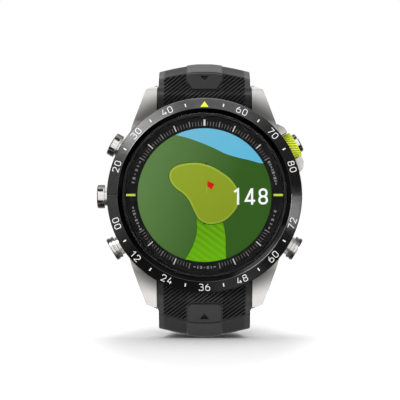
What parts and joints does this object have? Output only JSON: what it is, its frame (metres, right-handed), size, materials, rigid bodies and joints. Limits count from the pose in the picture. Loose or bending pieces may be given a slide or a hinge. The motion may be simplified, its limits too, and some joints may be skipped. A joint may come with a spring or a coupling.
{
  "type": "golf gps watch",
  "caption": "Round golf and multisport wristwatch with scale bezel, side pushers and a ribbed rubber strap, standing unbuckled on its lower strap.",
  "frame": {"origin": "centre of the flat sensor window on the wrist side of the head", "axes": "+Z to 12 o'clock, +X to 3 o'clock, dial facing -Y, wrist side facing +Y"},
  "size_m": [0.0491, 0.0789, 0.0678],
  "materials": {
    "titanium": "satin",
    "bezel_coating": "satin",
    "back_titanium": "satin",
    "silver_pusher": "satin",
    "lime": "satin",
    "strap_rubber": "matte",
    "buckle_steel": "satin",
    "steel": "satin",
    "spring_steel": "gloss",
    "crystal": "polished",
    "screen": "gloss",
    "black_mask": "gloss",
    "seal_rubber": "matte",
    "tray_plastic": "matte",
    "board": "satin",
    "chip": "satin",
    "can": "satin",
    "cell": "satin",
    "flex": "satin",
    "sensor_glass": "gloss",
    "led": "gloss",
    "gold": "gloss",
    "port_plastic": "satin",
    "membrane": "matte"
  },
  "bodies": {
    "watch_head": {"mid_case": "titanium", "bezel_ring": "bezel_coating", "bezel_gasket": "seal_rubber", "lens": "crystal", "lens_gasket": "seal_rubber", "index_ring": "black_mask", "display_panel": "screen", "display_frame": "tray_plastic", "display_flex": "flex", "antenna_ring": "gold", "inner_chassis": "tray_plastic", "chassis_screws": "steel", "main_board": "board", "shield_cans": "can", "board_chips": "chip", "battery": "cell", "vibration_motor": "can", "buzzer": "can", "rear_cover": "back_titanium", "rear_gasket": "seal_rubber", "rear_cover_screws": "steel", "sensor_window": "sensor_glass", "sensor_board": "board", "sensor_leds": "led", "charging_port": "port_plastic", "charging_contacts": "gold", "vent_membrane": "membrane", "button_tubes": "steel", "button_seals": "seal_rubber", "button_switches": "chip", "start_sleeve": "lime", "lug_bars": "steel", "light_spring": "spring_steel", "up_spring": "spring_steel", "down_spring": "spring_steel", "start_spring": "spring_steel", "back_spring": "spring_steel"},
    "light_button": {"light_pusher": "silver_pusher", "light_clip": "spring_steel"},
    "up_button": {"up_pusher": "silver_pusher", "up_clip": "spring_steel"},
    "down_button": {"down_pusher": "silver_pusher", "down_clip": "spring_steel"},
    "start_button": {"start_pusher": "silver_pusher", "start_clip": "spring_steel"},
    "back_button": {"back_pusher": "silver_pusher", "back_clip": "spring_steel"},
    "upper_strap": {"strap_upper": "strap_rubber", "upper_hook": "steel", "upper_latch_spring": "spring_steel", "fixed_keeper": "strap_rubber", "buckle_bar": "steel"},
    "lower_strap": {"strap_lower": "strap_rubber", "lower_hook": "steel", "lower_latch_spring": "spring_steel"},
    "upper_release": {"upper_latch": "buckle_steel"},
    "lower_release": {"lower_latch": "buckle_steel"},
    "sliding_keeper": {"free_keeper": "strap_rubber"},
    "buckle": {"buckle_frame": "buckle_steel"},
    "tongue": {"buckle_tongue": "buckle_steel"}
  },
  "joints": [
    {"name": "light_press", "type": "slide", "parent": "watch_head", "child": "light_button", "axis": [0.866, 0, -0.5], "range_m": [0, 0.0008], "stiffness_N_per_m": 600, "springref_m": -0.001, "deforming": ["light_spring"]},
    {"name": "up_press", "type": "slide", "parent": "watch_head", "child": "up_button", "axis": [1, 0, 0], "range_m": [0, 0.0008], "stiffness_N_per_m": 600, "springref_m": -0.001, "deforming": ["up_spring"]},
    {"name": "down_press", "type": "slide", "parent": "watch_head", "child": "down_button", "axis": [0.866, 0, 0.5], "range_m": [0, 0.0008], "stiffness_N_per_m": 600, "springref_m": -0.001, "deforming": ["down_spring"]},
    {"name": "start_press", "type": "slide", "parent": "watch_head", "child": "start_button", "axis": [-0.866, 0, -0.5], "range_m": [0, 0.0008], "stiffness_N_per_m": 600, "springref_m": -0.001, "deforming": ["start_spring"]},
    {"name": "back_press", "type": "slide", "parent": "watch_head", "child": "back_button", "axis": [-0.866, 0, 0.5], "range_m": [0, 0.0008], "stiffness_N_per_m": 600, "springref_m": -0.001, "deforming": ["back_spring"]},
    {"name": "upper_strap_hinge", "type": "hinge", "parent": "watch_head", "child": "upper_strap", "pos_m": [0, -0.005, 0.0242], "axis": [1, 0, 0], "range_deg": [-45, 25]},
    {"name": "lower_strap_hinge", "type": "hinge", "parent": "watch_head", "child": "lower_strap", "pos_m": [0, -0.005, -0.0242], "axis": [-1, 0, 0], "range_deg": [0, 25]},
    {"name": "upper_release_slide", "type": "slide", "parent": "upper_strap", "child": "upper_release", "axis": [0, 0.6215, 0.7834], "range_m": [0, 0.0012], "stiffness_N_per_m": 300, "springref_m": -0.0008, "deforming": ["upper_latch_spring"]},
    {"name": "lower_release_slide", "type": "slide", "parent": "lower_strap", "child": "lower_release", "axis": [0, 0.6215, -0.7834], "range_m": [0, 0.0012], "stiffness_N_per_m": 300, "springref_m": -0.0008, "deforming": ["lower_latch_spring"]},
    {"name": "keeper_slide", "type": "slide", "parent": "upper_strap", "child": "sliding_keeper", "axis": [0, 0.9848, -0.1736], "range_m": [-0.008, 0.004]},
    {"name": "buckle_hinge", "type": "hinge", "parent": "upper_strap", "child": "buckle", "pos_m": [0, 0.04763, 0.02478], "axis": [1, 0, 0], "range_deg": [-30, 40]},
    {"name": "tongue_hinge", "type": "hinge", "parent": "buckle", "child": "tongue", "pos_m": [0, 0.04763, 0.02478], "axis": [1, 0, 0], "range_deg": [0, 85]}
  ]
}
